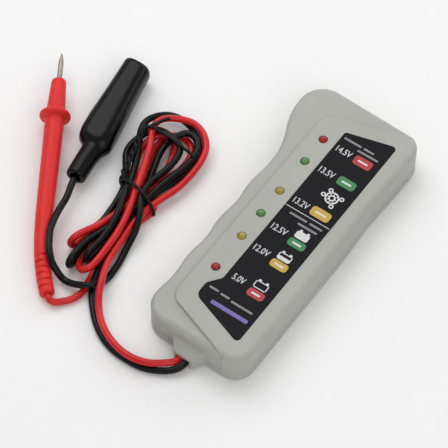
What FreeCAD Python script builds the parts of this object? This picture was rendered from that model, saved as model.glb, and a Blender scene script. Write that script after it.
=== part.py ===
"""Pocket battery tester: a hand-held case with six lamps, and its test leads.

The case lies on its back on the XY plane, its length along +Y, its lamps facing +Z.
Two leads leave under a hood at the -Y end, run through a tied hank, and end in a
needle probe (red) and a booted spring clip (black).  Millimetres throughout.
"""
import FreeCAD
import Part
import math
import os

V = FreeCAD.Vector

# ---------------------------------------------------------------- driving sizes
BODY_WIDTH = 49.3          # widest, across the shoulder bulge
BODY_LENGTH = 118.3        # along Y, without the cable hood
BODY_HEIGHT = 15.0         # base to the raised face
BAND_DROP = 1.1            # the lower band round the raised face
SEAM_Z = 4.5               # parting line of the two shells
WALL = 2.0                 # side walls and faces of the shells
RIM_ROUND = 2.4
BASE_ROUND = 1.1
SEAM_CHAMFER = 0.25
SHELL_GAP = 0.12           # tongue of the back shell inside the front shell
TONGUE_WALL = 0.9
TONGUE_HEIGHT = 1.4

SHOULDER_OUT = 6.2         # how far the left shoulder stands out past the grip's high spots
SHOULDER_LENGTH = 29.5     # along Y, from the grip to the widest place
TOP_SLOPE = 1.6            # the top edge falls by this much from left to right
CORNER_TOP_LEFT = 10.0
CORNER_TOP_RIGHT = 8.0
CORNER_BOTTOM_RIGHT = 8.0
CORNER_BOTTOM_LEFT = 8.5
GRIP_PITCH = 19.4          # finger waves along the left side
GRIP_WAVES = 7             # half waves
GRIP_DEPTH = 0.8
DIP_DEPTH = 0.7            # thumb dip in the right side
DIP_LENGTH = 40.0
DIP_FROM_TOP = 17.0

PANEL_INSET = 12.3         # raised face: its left edge from the widest left
PANEL_SIDE_TOP = 12.3      # from the top end to the panel's left top corner
PANEL_SIDE_BOTTOM = 9.9    # from the lower end to its left bottom corner
PANEL_RISE = 0.317         # slope of the panel's upper edge
PANEL_FALL = 0.34          # slope of its lower edge
PANEL_ROUND = 6.0
PANEL_EDGE = 0.5
STRAP_PROUD = 0.6          # the panel's tail, standing out on the end wall

HOOD_OUT = 4.0             # how far the cable hood stands out of the end wall
HOOD_TOP = 9.4
HOOD_LEFT = -5.4
HOOD_RIGHT = 9.9
HOOD_LIP_LEFT = -1.4
HOOD_LIP_RIGHT = 6.4
HOOD_LIP_TOP = 5.9
HOOD_BOTTOM = 0.9

LABEL_THICK = 0.3
LABEL_SUNK = 0.2
LABEL_GAP = 0.1
LABEL_LEFT = BODY_WIDTH / 2 - 26.1
LABEL_RIGHT = BODY_WIDTH / 2 - 6.7

LED_D = 3.3
LED_FLANGE_D = 4.1
LED_FLANGE = 1.0
LED_SEAT = 0.2             # the flange stops this far below the front wall
LED_PROUD = 1.0
LED_GAP = 0.1
LED_X = BODY_WIDTH / 2 - 31.0
LED_FROM_TOP = 22.25       # the first lamp, from the top end
LED_STEPS = (11.92, 15.97, 11.92, 11.92, 15.97)
LED_LEG = 0.5
LED_LEG_PITCH = 2.54

BOARD_THICK = 1.6
BOARD_TOP = 8.8
BOARD_LEFT = SHOULDER_OUT + 4.85 - BODY_WIDTH / 2
BOARD_RIGHT = BODY_WIDTH / 2 - 4.25
BOARD_FROM_END = 8.15      # lower edge, from the case's lower end
BOARD_FROM_TOP = 17.15     # upper edge, from the case's top end
POST_D = 4.0
POST_INSET = 3.4
CHIP = (8.7, 3.9, 1.6)
BOARD_GAP = 0.4            # round the screw bosses
PAD_D = 1.4
RESISTOR = (3.2, 1.6, 0.6)

SCREW_D = 2.6
SCREW_HEAD_D = 5.0
SCREW_HEAD = 1.8
SCREW_LENGTH = 9.0
SCREW_GAP = 0.1
BOSS_WALL = 1.6
SCREW_LEFT = 14.15         # screws from the widest left
SCREW_RIGHT = 11.15        # and from the right side

LEAD_D = 2.6
LEAD_Z = 3.1               # height of the leads where they leave the hood
LEAD_GAP = 0.05
RED_EXIT_X = 0.9
BLACK_EXIT_X = 3.8
EXIT_RUN = 1.8             # straight out of the hood
INSIDE_RUN = 10.5          # lead inside the case before it turns up to the board
INSIDE_BEND = 2.9

HANK_TALL = 8.6
TIE_WIDE = 1.6
TIE_THICK = 1.2

PROBE_TIP = V(-112.45, 19.4, 7.2)
PROBE_TAIL = V(-77.33, -36.43, 4.63)
PROBE_RELIEF_END = V(-53.0, -67.1, 2.9)
RELIEF_HEADING = V(0.754, -0.656, -0.02).normalize()
NEEDLE_D = 2.0
NEEDLE_SHANK_D = 1.4        # the part held inside the handle
NEEDLE_OUT = 12.7
NEEDLE_POINT = 4.2
NEEDLE_BURIED = 24.0
NOSE_D = 5.6
NOSE_BACK_D = 7.1
NOSE_LENGTH = 14.5
GUARD_D = 11.8
GUARD_THICK = 3.2
GRIP_D = 7.3
GRIP_BACK_D = 6.6
RELIEF_BACK_D = 5.6
RELIEF_SMOOTH = 0.61       # share of the bent sleeve that has no ribs
RELIEF_RIBS = 6
RELIEF_GROOVE = 0.45
FERRULE_D = 3.4
FERRULE_LENGTH = 14.0
PROBE_GAP = 0.03

CLIP_NECK_END = V(-74.6, -22.3, 5.55)
CLIP_MOUTH = V(-85.65, 31.6, 5.55)
BOOT_WALL = 1.1
BOOT_NECK_D = 7.7
BOOT_NECK_ROOT_D = 8.3
BOOT_NECK_LENGTH = 13.5
BOOT_SHOULDER = 19.5       # from the neck's end to the widest place
BOOT_WIDE = 13.7
BOOT_TALL = 11.0
BOOT_MOUTH_WIDE = 11.2
BOOT_MOUTH_TALL = 9.8
LIP_GAP = 0.3
JAW_OPEN = 20.0            # degrees, closed to fully open
PIVOT_AT = 27.0            # pivot pin, from the neck's end
PIN_D = 1.8
PIN_GAP = 0.05
SHEET = 0.6                # steel of the jaws
FIXED_HALF = 3.1
MOVING_HALF = 2.2
JAW_GAP = 0.3              # side clearance of the moving jaw in the fixed one
JAW_TIP_AT = 50.5
JAW_TALL = 3.5
TOOTH_PITCH = 2.0
TOOTH_DEPTH = 0.7
BARREL_D = 4.4
BARREL_START = 3.0
SPRING_WIRE = 0.5
SPRING_D = 3.2
SPRING_TURNS = 4
SPRING_LOW_LEG = 4.4
SPRING_TOP_LEG = 2.6
SPRING_TURN = 76.0         # turns the spring on the pin so that both legs point back

# ---------------------------------------------------------------- derived places
HALF_WIDTH = BODY_WIDTH / 2
TOP_Y = (BODY_LENGTH + HOOD_OUT) / 2
END_Y = TOP_Y - BODY_LENGTH
BOARD_LOWER_END = END_Y + BOARD_FROM_END
BOARD_UPPER_END = TOP_Y - BOARD_FROM_TOP
LIP_Y = END_Y - HOOD_OUT
GRIP_X = HALF_WIDTH - SHOULDER_OUT
BAND_Z = BODY_HEIGHT - BAND_DROP
BOARD_BOTTOM = BOARD_TOP - BOARD_THICK
BOSS_FOOT = SEAM_Z + TONGUE_HEIGHT + 0.1
LED_YS = [TOP_Y - LED_FROM_TOP - sum(LED_STEPS[:i]) for i in range(6)]
LEAD_R = LEAD_D / 2
FLOOR_Z = LEAD_R + 0.05    # centre line of a lead that lies on the table
BOSS_D = SCREW_D + 2 * BOSS_WALL
SCREW_INSET = WALL + SHELL_GAP + TONGUE_WALL + BOSS_D / 2 + 0.4
SCREW_XS = (SCREW_LEFT - HALF_WIDTH, HALF_WIDTH - SCREW_RIGHT)
SCREW_YS = (TOP_Y - SCREW_INSET - TOP_SLOPE, END_Y + SCREW_INSET)
SCREW_PLACES = [(x, y) for x in SCREW_XS for y in SCREW_YS]

# ---------------------------------------------------------------- lead routes
ROUTES_LIP_Y = -61.15      # the hood's lip that everything outside the case is measured for
OUTSIDE_SHIFT = V(0, LIP_Y - ROUTES_LIP_Y, 0)
RED_NEAR = [
    (RED_EXIT_X, ROUTES_LIP_Y, LEAD_Z), (RED_EXIT_X, ROUTES_LIP_Y - EXIT_RUN, LEAD_Z),
    (-0.8, -65.0, 3.6), (-3.2, -67.0, 3.7),
    (-6.3, -69.4, 4.0), (-11.1, -71.0, 4.1), (-17.2, -71.2, 4.2), (-23.9, -69.2, 4.0),
    (-29.3, -66.2, 4.0), (-33.8, -62.1, 4.2), (-37.2, -57.4, 5.6), (-39.6, -52.1, 6.9),
    (-42.2, -46.6, 5.5), (-43.6, -41.0, 5.0), (-44.6, -35.0, 4.5),
]
BLACK_NEAR = [
    (BLACK_EXIT_X, ROUTES_LIP_Y, LEAD_Z), (BLACK_EXIT_X, ROUTES_LIP_Y - EXIT_RUN, LEAD_Z),
    (2.2, -65.4, 2.2), (-0.8, -67.8, 1.7),
    (-4.8, -69.9, FLOOR_Z), (-9.1, -71.4, FLOOR_Z), (-14.7, -71.7, FLOOR_Z),
    (-20.8, -71.4, FLOOR_Z), (-27.3, -69.2, FLOOR_Z), (-32.9, -65.5, FLOOR_Z),
    (-37.5, -61.1, FLOOR_Z), (-41.3, -56.6, FLOOR_Z), (-42.8, -52.4, 2.7), (-44.6, -47.6, 4.0),
    (-47.0, -42.1, 3.9),
]
RED_FAR = [
    (-53.0, -67.1, 2.9), (-51.492, -68.412, 2.86), (-49.4, -68.1, 2.1), (-47.7, -65.9, FLOOR_Z),
    (-45.9, -63.9, FLOOR_Z), (-44.6, -61.4, FLOOR_Z), (-44.1, -58.8, FLOOR_Z),
    (-44.1, -56.8, FLOOR_Z), (-44.9, -53.7, FLOOR_Z), (-46.0, -48.5, FLOOR_Z),
]
BLACK_FAR = [
    (-75.2, -19.4, 5.55), (-74.2, -24.5, 5.55), (-71.8, -30.4, 5.5), (-70.9, -35.0, 5.7),
    (-70.1, -38.7, 6.2), (-68.6, -43.2, 6.9), (-66.9, -47.2, 7.6), (-64.6, -50.5, 7.7),
    (-62.9, -53.0, 7.5), (-60.4, -55.5, 7.0), (-58.4, -57.1, 6.1), (-56.3, -57.7, 4.5),
    (-54.0, -58.3, 3.0), (-51.3, -58.6, 2.2), (-47.0, -58.3, 3.6), (-42.8, -57.0, 5.3),
    (-40.3, -53.9, 4.6), (-39.8, -49.6, 1.7), (-40.2, -44.7, FLOOR_Z), (-40.9, -39.4, FLOOR_Z),
    (-42.1, -34.4, 2.0), (-42.7, -27.6, 4.6),
]
HANK_OUTLINE = [
    (-61.4, -13.0, 4.0), (-70.6, 1.0, 6.0), (-70.2, 17.0, 6.0), (-61.5, 25.2, 6.0),
    (-49.0, 24.4, 7.0), (-39.2, 11.0, 8.0), (-40.0, -3.0, 8.0), (-43.0, -17.0, 5.0),
    (-43.9, -44.0, 4.0), (-47.6, -53.2, 4.0), (-58.6, -53.8, 4.0), (-60.8, -41.0, 3.0),
    (-57.8, -30.0, 3.0), (-57.8, -22.0, 3.0),
]
TIE_LEFT = (-62.6, -12.6)
TIE_RIGHT = (-41.4, -17.0)


# ---------------------------------------------------------------- shape helpers
def line(a, b):
    return Part.LineSegment(a, b).toShape()


def corner_arc(before, corner, after, radius):
    """Tangent arc that rounds one corner: its two ends and its middle point."""
    into = (corner - before).normalize()
    out = (after - corner).normalize()
    half = math.acos(max(-1.0, min(1.0, into.dot(out)))) / 2
    trim = radius * math.tan(half)
    start = corner - into * trim
    end = corner + out * trim
    inward = (out - into).normalize()
    centre = corner + inward * (radius / math.cos(half))
    return start, centre - inward * radius, end


def rounded_loop(corners, z=0.0):
    """Closed wire through (x, y, radius) corners, each rounded by its own radius."""
    points = [V(x, y, z) for x, y, _ in corners]
    arcs = []
    for i, (_, _, radius) in enumerate(corners):
        arcs.append(corner_arc(points[i - 1], points[i], points[(i + 1) % len(points)], radius))
    edges = []
    for i, (start, middle, end) in enumerate(arcs):
        edges.append(line(arcs[i - 1][2], start))
        edges.append(Part.Arc(start, middle, end).toShape())
    return Part.Wire(Part.__sortEdges__(edges))


def prism(wire, low, high):
    face = Part.Face(wire)
    face.translate(V(0, 0, low))
    return face.extrude(V(0, 0, high - low))


def block(x0, x1, y0, y1, z0, z1):
    return Part.makeBox(x1 - x0, y1 - y0, z1 - z0, V(x0, y0, z0))


def post(x, y, z0, z1, diameter):
    return Part.makeCylinder(diameter / 2, z1 - z0, V(x, y, z0))


def round_rim(solid, z, radius):
    """Fillet every edge that lies wholly at one height."""
    edges = [e for e in solid.Edges
             if abs(e.BoundBox.ZMin - z) < 0.01 and abs(e.BoundBox.ZMax - z) < 0.01]
    return solid.makeFillet(radius, edges)


def revolve(profile):
    """Solid of revolution about +X from (along, radius) points that start and end on the axis."""
    points = [V(x, r, 0) for x, r in profile]
    wire = Part.makePolygon(points + [points[0]])
    return Part.Face(wire).revolve(V(0, 0, 0), V(1, 0, 0), 360)


def aimed(shape, start, direction):
    """Move a shape that was made along +X so that it starts at a point and runs along a direction."""
    flat = math.degrees(math.atan2(direction.y, direction.x))
    tilt = math.degrees(math.asin(direction.z / direction.Length))
    turn = FreeCAD.Rotation(V(0, 0, 1), flat).multiply(FreeCAD.Rotation(V(0, 1, 0), -tilt))
    moved = shape.copy()
    moved.Placement = FreeCAD.Placement(start, turn).multiply(moved.Placement)
    return moved


def save(name, *solids):
    shape = solids[0] if len(solids) == 1 else Part.makeCompound(list(solids))
    shape.exportStep("parts/%s.step" % name)


# ---------------------------------------------------------------- case outline
def quarter(upright, sloping):
    """Arc between a point where it runs along Y and a point where it slopes: three points."""
    across = sloping.x - upright.x
    rise = sloping.y - upright.y
    radius = (across ** 2 + rise ** 2) / (2 * across)
    centre = V(upright.x + radius, upright.y)
    half_way = ((upright - centre) + (sloping - centre)).normalize() * abs(radius)
    return upright, centre + half_way, sloping


def swing(start, end):
    """Two equal tangent arcs from one point to another, along Y at both ends."""
    middle = (start + end) / 2
    first = quarter(start, middle)
    second = quarter(end, middle)
    return [Part.Arc(*first).toShape(), Part.Arc(*second[::-1]).toShape()]


def left_edges(low, high, grip):
    """Left side from the lower corner up: finger waves, a short straight, the shoulder bulge."""
    edges = []
    at = low
    for i in range(GRIP_WAVES):
        side = GRIP_DEPTH if i % 2 == 0 else 0
        after = V(grip + side, low.y + (i + 1) * GRIP_PITCH / 2)
        edges += swing(at, after)
        at = after
    foot = V(at.x, high.y - SHOULDER_LENGTH)
    edges.append(line(at, foot))
    return edges + swing(foot, high)


def right_edges(inset, shift):
    """Right side from the top down: a straight with one shallow thumb dip."""
    x = HALF_WIDTH - inset
    top = V(x, TOP_Y - DIP_FROM_TOP + shift)
    deep = V(x - DIP_DEPTH, top.y - DIP_LENGTH / 2)
    low = V(x, top.y - DIP_LENGTH)
    return swing(top, deep) + swing(deep, low)


def outline(inset=0.0, shift=0.0):
    """The case seen from above, drawn in by an inset and moved along Y by a shift."""
    left = -HALF_WIDTH + inset
    grip = left + SHOULDER_OUT
    right = HALF_WIDTH - inset
    top_left = TOP_Y + TOP_SLOPE * 0.2 - inset + shift
    top_right = TOP_Y - TOP_SLOPE * 0.8 - inset + shift
    bottom = END_Y + inset + shift
    tl = corner_arc(V(left, top_left - 30), V(left, top_left), V(right, top_right), CORNER_TOP_LEFT - inset)
    tr = corner_arc(V(left, top_left), V(right, top_right), V(right, bottom), CORNER_TOP_RIGHT - inset)
    br = corner_arc(V(right, top_right), V(right, bottom), V(grip, bottom), CORNER_BOTTOM_RIGHT - inset)
    bl = corner_arc(V(right, bottom), V(grip, bottom), V(grip, bottom + 30), CORNER_BOTTOM_LEFT - inset)
    dip = right_edges(inset, shift)
    dip_top = V(right, TOP_Y - DIP_FROM_TOP + shift)
    dip_low = dip_top - V(0, DIP_LENGTH)
    edges = [Part.Arc(*tl).toShape(), line(tl[2], tr[0]), Part.Arc(*tr).toShape(), line(tr[2], dip_top)]
    edges += dip + [line(dip_low, br[0]), Part.Arc(*br).toShape()]
    edges += [line(br[2], bl[0]), Part.Arc(*bl).toShape()]
    edges += left_edges(bl[2], tl[0], grip)
    return Part.Wire(edges)


def panel_outline():
    """The raised face: it runs off the case on the right."""
    left = -HALF_WIDTH + PANEL_INSET
    right = HALF_WIDTH + 6
    top = TOP_Y - PANEL_SIDE_TOP
    bottom = END_Y + PANEL_SIDE_BOTTOM
    corners = [(left, top, PANEL_ROUND), (right, top + PANEL_RISE * (right - left), 1.0),
               (right, bottom - PANEL_FALL * (right - left), 1.0), (left, bottom, PANEL_ROUND)]
    return rounded_loop(corners)


def label_outline(grow=0.0):
    """Face label: slanted top and bottom edges and a rounded tab at its lower left."""
    left = LABEL_LEFT - grow
    right = LABEL_RIGHT + grow
    tab = LABEL_LEFT - 3.75 - grow
    top = TOP_Y - 14.95 + grow
    low = END_Y + 13.7 - grow
    corners = [(left, top, 1.2), (right, top + 0.27 * (right - left), 1.5),
               (right, low - PANEL_FALL * (right - left), 1.6), (tab, low + 1.3, 3.4),
               (tab, low + 7.4, 2.4), (left, low + 12.3, 2.4)]
    return rounded_loop(corners)


def hood():
    """Wedge that hides the leads' way out: wide and tall at the wall, narrow at the lip."""
    back = END_Y + WALL / 2
    wall_side = Part.makePolygon([V(HOOD_LEFT, back, HOOD_BOTTOM), V(HOOD_RIGHT, back, HOOD_BOTTOM),
                                  V(HOOD_RIGHT, back, HOOD_TOP), V(HOOD_LEFT, back, HOOD_TOP),
                                  V(HOOD_LEFT, back, HOOD_BOTTOM)])
    lip_corners = [(HOOD_LIP_LEFT, HOOD_BOTTOM), (HOOD_LIP_RIGHT, HOOD_BOTTOM),
                   (HOOD_LIP_RIGHT, HOOD_LIP_TOP), (HOOD_LIP_LEFT, HOOD_LIP_TOP),
                   (HOOD_LIP_LEFT, HOOD_BOTTOM)]
    lip_side = Part.makePolygon([V(x, LIP_Y, z) for x, z in lip_corners])
    wedge = Part.makeLoft([wall_side, lip_side], True, True)
    edges = [e for e in wedge.Edges if e.BoundBox.YLength > 1]
    edges += [e for e in wedge.Edges if e.BoundBox.YMax < LIP_Y + 0.01 and e.BoundBox.ZLength < 0.01]
    return wedge.makeFillet(0.6, edges)


def lead_slots():
    """Two channels for the leads, open upwards to the seam."""
    slots = []
    for x in (RED_EXIT_X, BLACK_EXIT_X):
        width = LEAD_R + LEAD_GAP
        length = INSIDE_RUN + INSIDE_BEND + LEAD_D
        slots.append(Part.makeCylinder(width, length, V(x, LIP_Y - 1, LEAD_Z), V(0, 1, 0)))
        slots.append(block(x - width, x + width, LIP_Y - 1, LIP_Y - 1 + length, LEAD_Z, BOARD_BOTTOM))
    return slots


# ---------------------------------------------------------------- case
def front_shell():
    low = round_rim(prism(outline(), SEAM_Z, BAND_Z), BAND_Z, RIM_ROUND - 0.3)
    full = round_rim(prism(outline(), SEAM_Z, BODY_HEIGHT), BODY_HEIGHT, RIM_ROUND)
    panel = round_rim(prism(panel_outline(), 0, BODY_HEIGHT), BODY_HEIGHT, PANEL_EDGE)
    tail = round_rim(prism(outline(0, -STRAP_PROUD), SEAM_Z, BODY_HEIGHT), BODY_HEIGHT, RIM_ROUND)
    tail_left = -HALF_WIDTH + PANEL_INSET + (PANEL_SIDE_BOTTOM / PANEL_FALL)
    tail_zone = block(tail_left, HALF_WIDTH + 5, LIP_Y - 9, END_Y + CORNER_BOTTOM_RIGHT, 0, BODY_HEIGHT + 1)
    shell = low.fuse([full.common(panel), tail.common(tail_zone)])
    cavity = prism(outline(WALL), SEAM_Z - 1, BAND_Z - WALL)
    upper_hood = hood().common(block(-60, 60, LIP_Y - 5, END_Y + 5, SEAM_Z, BODY_HEIGHT))
    shell = shell.fuse(upper_hood).cut(cavity)
    bosses = [post(x, y, BOSS_FOOT, BAND_Z - WALL + 0.2, BOSS_D)
              for x, y in SCREW_PLACES]
    shell = shell.fuse(bosses)
    cutters = [post(LED_X, y, BAND_Z - WALL - 1, BODY_HEIGHT + 1, LED_D + 2 * LED_GAP) for y in LED_YS]
    cutters += [post(x, y, BOARD_TOP - 4, SCREW_HEAD + SCREW_LENGTH, SCREW_D) for x, y in SCREW_PLACES]
    cutters.append(prism(label_outline(LABEL_GAP), BODY_HEIGHT - LABEL_SUNK, BODY_HEIGHT + 1))
    return shell.cut(cutters).removeSplitter()


def back_shell():
    shell = round_rim(prism(outline(), 0, SEAM_Z - SEAM_CHAMFER), 0, BASE_ROUND)
    shell = shell.fuse(prism(outline(SEAM_CHAMFER), SEAM_Z - SEAM_CHAMFER, SEAM_Z))
    lower_hood = hood().common(block(-60, 60, LIP_Y - 5, END_Y + 5, 0, SEAM_Z))
    tongue_inset = WALL + SHELL_GAP
    tongue = prism(outline(tongue_inset), SEAM_Z - 1, SEAM_Z + TONGUE_HEIGHT)
    shell = shell.fuse([lower_hood, tongue])
    shell = shell.cut(prism(outline(tongue_inset + TONGUE_WALL), WALL, SEAM_Z + TONGUE_HEIGHT + 1))
    posts = [post(x, y, WALL - 0.2, BOARD_BOTTOM, POST_D) for x, y in board_corners()]
    pillars = [post(x, y, WALL - 0.2, BOSS_FOOT, BOSS_D) for x, y in SCREW_PLACES]
    shell = shell.fuse(posts + pillars)
    cutters = lead_slots()
    for x, y in SCREW_PLACES:
        cutters.append(post(x, y, -1, SCREW_HEAD, SCREW_HEAD_D + 2 * SCREW_GAP))
        cutters.append(post(x, y, 0, BOARD_TOP, SCREW_D + 2 * SCREW_GAP))
    return shell.cut(cutters).removeSplitter()


def case_screws():
    screws = []
    for x, y in SCREW_PLACES:
        head = post(x, y, SCREW_HEAD - 1.3, SCREW_HEAD, SCREW_HEAD_D)
        shank = post(x, y, SCREW_HEAD, SCREW_HEAD + SCREW_LENGTH - 0.6, SCREW_D)
        slot_a = block(x - 1.4, x + 1.4, y - 0.35, y + 0.35, 0, SCREW_HEAD - 0.6)
        slot_b = block(x - 0.35, x + 0.35, y - 1.4, y + 1.4, 0, SCREW_HEAD - 0.6)
        screws.append(head.fuse(shank).cut([slot_a, slot_b]))
    return screws


def face_label():
    bottom = BODY_HEIGHT - LABEL_SUNK
    return prism(label_outline(), bottom, bottom + LABEL_THICK)


# ---------------------------------------------------------------- lamps and circuit
def led_body(y):
    top = BODY_HEIGHT + LED_PROUD
    radius = LED_D / 2
    flange_top = BAND_Z - WALL - LED_SEAT
    bottom = flange_top - LED_FLANGE
    tube = post(LED_X, y, flange_top, top - radius, LED_D)
    dome = Part.makeSphere(radius, V(LED_X, y, top - radius))
    return post(LED_X, y, bottom, flange_top, LED_FLANGE_D).fuse([tube, dome]).removeSplitter()


def led_legs():
    bottom = BAND_Z - WALL - LED_SEAT - LED_FLANGE
    legs = []
    for y in LED_YS:
        for side in (-1, 1):
            x = LED_X + side * LED_LEG_PITCH / 2
            half = LED_LEG / 2
            legs.append(block(x - half, x + half, y - half, y + half, BOARD_BOTTOM - 1.0, bottom))
    return legs


def board_corners():
    xs = (BOARD_LEFT + POST_INSET, BOARD_RIGHT - POST_INSET)
    ys = (BOARD_LOWER_END + 11, BOARD_UPPER_END - POST_INSET)
    return [(x, y) for x in xs for y in ys]


def circuit_board():
    corners = [(BOARD_LEFT, BOARD_LOWER_END, 1.5), (BOARD_RIGHT, BOARD_LOWER_END, 1.5),
               (BOARD_RIGHT, BOARD_UPPER_END, 1.5), (BOARD_LEFT, BOARD_UPPER_END, 1.5)]
    board = prism(rounded_loop(corners), BOARD_BOTTOM, BOARD_TOP)
    holes = []
    for y in LED_YS:
        for side in (-1, 1):
            holes.append(post(LED_X + side * LED_LEG_PITCH / 2, y, BOARD_BOTTOM - 1, BOARD_TOP + 1, 0.9))
    for x in (RED_EXIT_X, BLACK_EXIT_X):
        holes.append(post(x, pad_y(), BOARD_BOTTOM - 1, BOARD_TOP + 1, PAD_D))
    for x, y in SCREW_PLACES:
        holes.append(post(x, y, BOARD_BOTTOM - 1, BOARD_TOP + 1, BOSS_D + 2 * BOARD_GAP))
    return board.cut(holes)


def chip(x, y):
    """Small-outline package on the board with a row of feet along each long side."""
    length, width, tall = CHIP
    body = block(x - width / 2, x + width / 2, y - length / 2, y + length / 2,
                 BOARD_TOP + 0.15, BOARD_TOP + tall)
    feet = []
    for i in range(7):
        fy = y + (i - 3) * 1.27
        feet.append(block(x - width / 2 - 1.0, x + width / 2 + 1.0, fy - 0.2, fy + 0.2,
                          BOARD_TOP, BOARD_TOP + 0.15))
        for side in (-1, 1):
            fx = x + side * (width / 2 + 0.1)
            feet.append(block(fx - 0.12, fx + 0.12, fy - 0.2, fy + 0.2, BOARD_TOP, BOARD_TOP + 0.9))
    return body.fuse(feet).removeSplitter()


def comparator_chips():
    x = BOARD_RIGHT - 13.9
    return [chip(x, BOARD_UPPER_END - 20.0), chip(x, BOARD_LOWER_END + 33.0)]


def chip_resistors():
    length, width, tall = RESISTOR
    parts = []
    for i, y in enumerate(LED_YS):
        for x in (BOARD_RIGHT - 20.0, BOARD_RIGHT - 7.0):
            at = y + (2.6 if i % 2 else -1.2)
            parts.append(block(x, x + length, at, at + width, BOARD_TOP, BOARD_TOP + tall))
    return parts


def voltage_reference():
    left = BOARD_RIGHT - 7.4
    y = BOARD_UPPER_END - 37.15
    body = block(left, left + 2.9, y - 0.65, y + 0.65, BOARD_TOP + 0.1, BOARD_TOP + 1.1)
    feet = [block(left + x, left + x + 0.4, y - 1.45, y + 1.45, BOARD_TOP, BOARD_TOP + 0.1)
            for x in (0.2, 1.25, 2.3)]
    return body.fuse(feet)


def polarity_diode():
    x = BOARD_RIGHT - 9.2
    y = BOARD_LOWER_END + 12.85
    body = block(x - 2.2, x + 2.2, y - 1.35, y + 1.35, BOARD_TOP + 0.2, BOARD_TOP + 2.2)
    feet = block(x - 2.9, x + 2.9, y - 0.65, y + 0.65, BOARD_TOP, BOARD_TOP + 0.2)
    return body.fuse(feet)


def filter_capacitor():
    x = BOARD_RIGHT - 17.35
    y = BOARD_LOWER_END + 12.85
    base = block(x - 2.65, x + 2.65, y - 2.65, y + 2.65, BOARD_TOP, BOARD_TOP + 0.5)
    return base.fuse(post(x, y, BOARD_TOP + 0.5, BAND_Z - WALL - 0.3, 5.0))


def pad_y():
    return LIP_Y + INSIDE_RUN + INSIDE_BEND


def wire_inside(x):
    """The lead between the hood and the board: in along the slot, then up to its solder pad."""
    start = V(x, LIP_Y, LEAD_Z)
    bend = V(x, LIP_Y + INSIDE_RUN, LEAD_Z)
    centre = bend + V(0, 0, INSIDE_BEND)
    middle = centre + V(0, math.sin(math.pi / 4), -math.cos(math.pi / 4)) * INSIDE_BEND
    up = centre + V(0, INSIDE_BEND, 0)
    path = Part.Wire([line(start, bend), Part.Arc(bend, middle, up).toShape(),
                      line(up, V(up.x, up.y, BOARD_BOTTOM))])
    ring = Part.Wire(Part.makeCircle(LEAD_R, start, V(0, 1, 0)))
    return path.makePipeShell([ring], True, True)


def solder_joints():
    joints = []
    for x in (RED_EXIT_X, BLACK_EXIT_X):
        cone = Part.makeCone(1.3, 0.5, 1.1, V(x, pad_y(), BOARD_TOP))
        joints.append(cone.fuse(post(x, pad_y(), BOARD_BOTTOM, BOARD_TOP, PAD_D)))
    return joints


# ---------------------------------------------------------------- free leads
def lead_tube(name, route):
    """Straight runs joined by tangent arcs, each as large as its two runs allow."""
    points = [V(*p) for p in route]
    edges = []
    at = points[0]
    radii = []
    for before, corner, after in zip(points, points[1:], points[2:]):
        half = (corner - before).getAngle(after - corner) / 2
        shorter = min((corner - before).Length, (after - corner).Length)
        radius = 0.45 * shorter / math.tan(half)
        radii.append(radius)
        start, middle, end = corner_arc(before, corner, after, radius)
        edges += [line(at, start), Part.Arc(start, middle, end).toShape()]
        at = end
    edges.append(line(at, points[-1]))
    path = Part.Wire(edges)
    ring = Part.Wire(Part.makeCircle(LEAD_R, points[0], points[1] - points[0]))
    tube = path.makePipeShell([ring], True, True)
    print("%s: length %.1f mm, volume / (section x length) %.4f, radii %s" % (
        name, path.Length, tube.Volume / (math.pi * LEAD_R ** 2 * path.Length),
        " ".join("%.0f" % r for r in radii)))
    return tube


def hank_and_tie():
    """The tied bundle of both leads, waisted where the tie holds it, and the tie sunk into it."""
    bundle = prism(rounded_loop(HANK_OUTLINE), 0, HANK_TALL)
    left = V(*TIE_LEFT)
    right = V(*TIE_RIGHT)
    along = right - left
    band = Part.makeBox(along.Length, TIE_WIDE, HANK_TALL + 2, V(0, -TIE_WIDE / 2, -1))
    core = Part.makeBox(along.Length - 7.0, TIE_WIDE + 2, HANK_TALL - 2 * TIE_THICK,
                        V(3.5, -TIE_WIDE / 2 - 1, TIE_THICK))
    turn = math.degrees(math.atan2(along.y, along.x))
    for piece in (band, core):
        piece.rotate(V(0, 0, 0), V(0, 0, 1), turn)
        piece.translate(left)
    tie = bundle.common(band).cut(core)
    return bundle.cut(tie), tie


# ---------------------------------------------------------------- probe
def probe_axis():
    along = PROBE_TAIL - PROBE_TIP
    return along.Length, along.normalize()


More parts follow.
